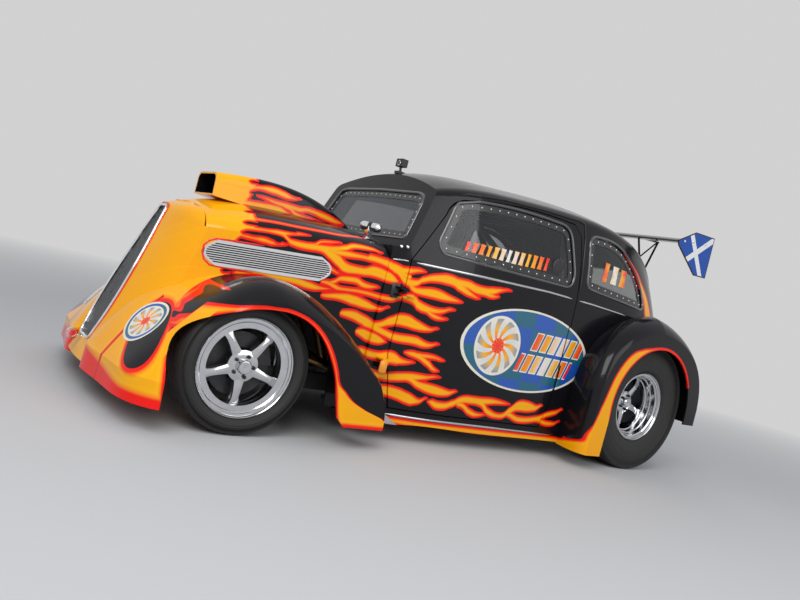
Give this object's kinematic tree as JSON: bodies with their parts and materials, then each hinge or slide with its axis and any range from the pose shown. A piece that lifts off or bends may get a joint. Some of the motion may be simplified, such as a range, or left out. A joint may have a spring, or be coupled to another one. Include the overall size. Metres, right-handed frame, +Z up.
{
  "type": "drag racing saloon car",
  "caption": "Chopped small saloon for drag racing: flip-off bonnet with scoop, clamshell front fenders, wide rear slicks under round rear fenders, opening doors, roll cage and rear wing.",
  "frame": {"origin": "on the ground, midway between the nose and the tail on the centre line", "axes": "+X rearward, +Y to the car's right, +Z up"},
  "size_m": [3.596, 1.604, 1.537],
  "materials": {
    "black_paint": "gloss",
    "flame_paint": "gloss, yellow to orange flames with red edges over black",
    "glass": "clear",
    "polished": "polished",
    "chrome": "polished",
    "tyre": "matt",
    "frame_tube": "satin",
    "cage_tube": "satin",
    "bare_alloy": "satin",
    "header_pipe": "heat tinted",
    "cast_metal": "rough",
    "seat_shell": "satin",
    "black_trim": "satin",
    "plate_paint": "gloss"
  },
  "bodies": {
    "car": {"body_shell": "black_paint", "windscreen": "glass", "rear_window": "glass", "nose_cone": "flame_paint", "nose_grille": "chrome", "chassis_frame": "frame_tube", "floor_pan": "bare_alloy", "engine_block": "cast_metal", "exhaust_headers": "header_pipe", "roll_cage": "cage_tube", "driver_seat": "seat_shell", "dash_panel": "black_trim", "front_suspension": "frame_tube", "rear_axle": "cast_metal", "rear_tubs": "bare_alloy", "side_grilles": "chrome", "quarter_windows": "glass", "wing_blade": "black_paint", "wing_plates": "plate_paint", "tow_eye": "chrome", "roof_camera": "black_trim", "front_fender_left": "flame_paint", "rear_fender_left": "black_paint", "front_fender_right": "flame_paint", "rear_fender_right": "black_paint"},
    "bonnet_panel": {"bonnet": "flame_paint", "bonnet_scoop": "flame_paint", "cowl_pod": "chrome"},
    "boot_panel": {"boot_lid": "black_paint"},
    "steering_column": {"steering_wheel": "black_trim"},
    "door_leaf_left": {"door_left": "flame_paint", "door_window_left": "glass"},
    "front_upright_left": {"front_knuckle_left": "bare_alloy"},
    "front_wheel_left": {"front_rim_left": "polished", "front_tyre_left": "tyre"},
    "rear_wheel_left": {"rear_rim_left": "polished", "rear_tyre_left": "tyre"},
    "door_leaf_right": {"door_right": "flame_paint", "door_window_right": "glass"},
    "front_upright_right": {"front_knuckle_right": "bare_alloy"},
    "front_wheel_right": {"front_rim_right": "polished", "front_tyre_right": "tyre"},
    "rear_wheel_right": {"rear_rim_right": "polished", "rear_tyre_right": "tyre"}
  },
  "joints": [
    {"name": "door_left_hinge", "type": "hinge", "parent": "car", "child": "door_leaf_left", "pos_m": [-0.524, -0.574, 0.6], "axis": [0, 0, -1], "range_deg": [0, 62]},
    {"name": "steer_left", "type": "hinge", "parent": "car", "child": "front_upright_left", "pos_m": [-1.242, -0.52, 0.276], "axis": [0, 0, 1], "range_deg": [-20, 20]},
    {"name": "front_wheel_left_spin", "type": "hinge", "parent": "front_upright_left", "child": "front_wheel_left", "pos_m": [-1.242, -0.577, 0.276], "axis": [0, 1, 0], "continuous": true},
    {"name": "rear_wheel_left_spin", "type": "hinge", "parent": "car", "child": "rear_wheel_left", "pos_m": [1.259, -0.578, 0.384], "axis": [0, 1, 0], "continuous": true},
    {"name": "door_right_hinge", "type": "hinge", "parent": "car", "child": "door_leaf_right", "pos_m": [-0.524, 0.574, 0.6], "axis": [0, 0, 1], "range_deg": [0, 62]},
    {"name": "steer_right", "type": "hinge", "parent": "car", "child": "front_upright_right", "pos_m": [-1.242, 0.52, 0.276], "axis": [0, 0, 1], "range_deg": [-20, 20]},
    {"name": "front_wheel_right_spin", "type": "hinge", "parent": "front_upright_right", "child": "front_wheel_right", "pos_m": [-1.242, 0.577, 0.276], "axis": [0, 1, 0], "continuous": true},
    {"name": "rear_wheel_right_spin", "type": "hinge", "parent": "car", "child": "rear_wheel_right", "pos_m": [1.259, 0.578, 0.384], "axis": [0, 1, 0], "continuous": true},
    {"name": "steering_wheel_turn", "type": "hinge", "parent": "car", "child": "steering_column", "pos_m": [-0.092, 0.285, 0.905], "axis": [0.9062, 0, 0.4229], "range_deg": [-160, 160]},
    {"name": "boot_hinge", "type": "hinge", "parent": "car", "child": "boot_panel", "pos_m": [1.716, 0, 0.962], "axis": [0, -1, 0], "range_deg": [0, 60]},
    {"name": "bonnet_lift", "type": "slide", "parent": "car", "child": "bonnet_panel", "axis": [0, 0, 1], "range_m": [0, 0.25]}
  ],
  "couplings": [
    {"joint": "steer_right", "follows": "steer_left", "ratio": 1},
    {"joint": "steering_wheel_turn", "follows": "steer_left", "ratio": 8}
  ]
}
